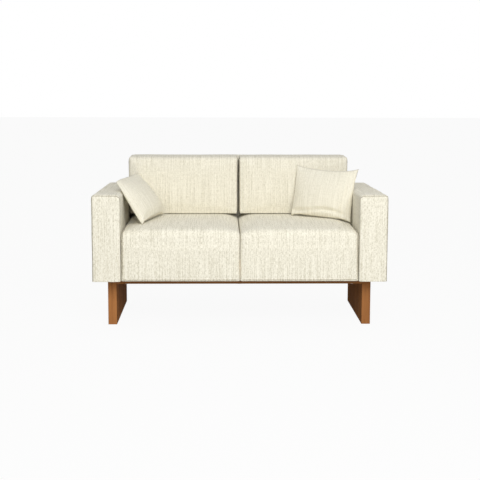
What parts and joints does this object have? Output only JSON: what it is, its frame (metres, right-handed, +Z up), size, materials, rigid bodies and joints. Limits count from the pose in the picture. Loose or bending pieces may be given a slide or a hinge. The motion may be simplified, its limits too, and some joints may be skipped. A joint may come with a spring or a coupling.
{
  "type": "two-seat settee",
  "caption": "Settee with two fixed seat blocks, boxy arms, loose box back cushions and throw pillows, on a wooden base of board legs and rails.",
  "frame": {"origin": "floor level, under the middle of the settee's width and depth", "axes": "+X to the right of someone who looks at its front, +Y to its rear, +Z up"},
  "size_m": [1.4, 0.78, 0.793],
  "materials": {
    "fabric": "cream linen-look slub weave, matt",
    "pillow_fabric": "cream linen-look weave, matt, a little smoother",
    "foam": "open-cell upholstery foam, matt",
    "fill": "loose fibre filling, matt",
    "base_wood": "stained hardwood with straight grain, satin",
    "frame_wood": "sawn softwood, matt",
    "panel_board": "hardboard, matt",
    "steel": "bright zinc plated",
    "felt": "needled felt, matt",
    "dust_cloth": "thin black non-woven cloth, matt",
    "webbing": "woven elastic band, matt",
    "zip": "closed coil zip, cream",
    "glide": "black plastic, satin"
  },
  "bodies": {
    "settee": {"arm_bottom_rail_left": "frame_wood", "arm_bottom_rail_right": "frame_wood", "arm_cover_left": "fabric", "arm_cover_right": "fabric", "arm_foam_left": "foam", "arm_foam_right": "foam", "arm_front_post_left": "frame_wood", "arm_front_post_right": "frame_wood", "arm_inner_panel_left": "panel_board", "arm_inner_panel_right": "panel_board", "arm_outer_panel_left": "panel_board", "arm_outer_panel_right": "panel_board", "arm_rear_post_left": "frame_wood", "arm_rear_post_right": "frame_wood", "arm_top_rail_left": "frame_wood", "arm_top_rail_right": "frame_wood", "back_bottom_rail": "frame_wood", "back_centre_post": "frame_wood", "back_cover": "fabric", "back_foam": "foam", "back_outer_panel": "panel_board", "back_post_left": "frame_wood", "back_post_right": "frame_wood", "back_top_rail": "frame_wood", "back_webbing": "webbing", "base_bolts": "steel", "base_front_rail": "base_wood", "base_rear_rail": "base_wood", "deck_felt": "felt", "dust_cover": "dust_cloth", "frame_bolts": "steel", "glides_left": "glide", "glides_right": "glide", "leg_panel_left": "base_wood", "leg_panel_right": "base_wood", "seat_centre_beam": "frame_wood", "seat_cover_left": "fabric", "seat_cover_right": "fabric", "seat_foam_left": "foam", "seat_foam_right": "foam", "seat_front_beam": "frame_wood", "seat_rear_beam": "frame_wood", "seat_side_beam_left": "frame_wood", "seat_side_beam_right": "frame_wood", "spring_clips": "steel", "springs_left": "steel", "springs_right": "steel"},
    "back_cushion_left": {"back_cushion_cover_left": "fabric", "back_cushion_foam_left": "foam", "back_cushion_zip_left": "zip"},
    "throw_pillow_left": {"throw_pillow_cover_left": "pillow_fabric", "throw_pillow_fill_left": "fill", "throw_pillow_zip_left": "zip"},
    "back_cushion_right": {"back_cushion_cover_right": "fabric", "back_cushion_foam_right": "foam", "back_cushion_zip_right": "zip"},
    "throw_pillow_right": {"throw_pillow_cover_right": "pillow_fabric", "throw_pillow_fill_right": "fill", "throw_pillow_zip_right": "zip"}
  },
  "joints": [
    {"name": "back_cushion_left_lift", "type": "slide", "parent": "settee", "child": "back_cushion_left", "axis": [0, 0, 1], "range_m": [0, 0.4]},
    {"name": "back_cushion_right_lift", "type": "slide", "parent": "settee", "child": "back_cushion_right", "axis": [0, 0, 1], "range_m": [0, 0.4]},
    {"name": "throw_pillow_left_lift", "type": "slide", "parent": "settee", "child": "throw_pillow_left", "axis": [0, 0, 1], "range_m": [0, 0.35]},
    {"name": "throw_pillow_right_lift", "type": "slide", "parent": "settee", "child": "throw_pillow_right", "axis": [0, 0, 1], "range_m": [0, 0.35]}
  ]
}
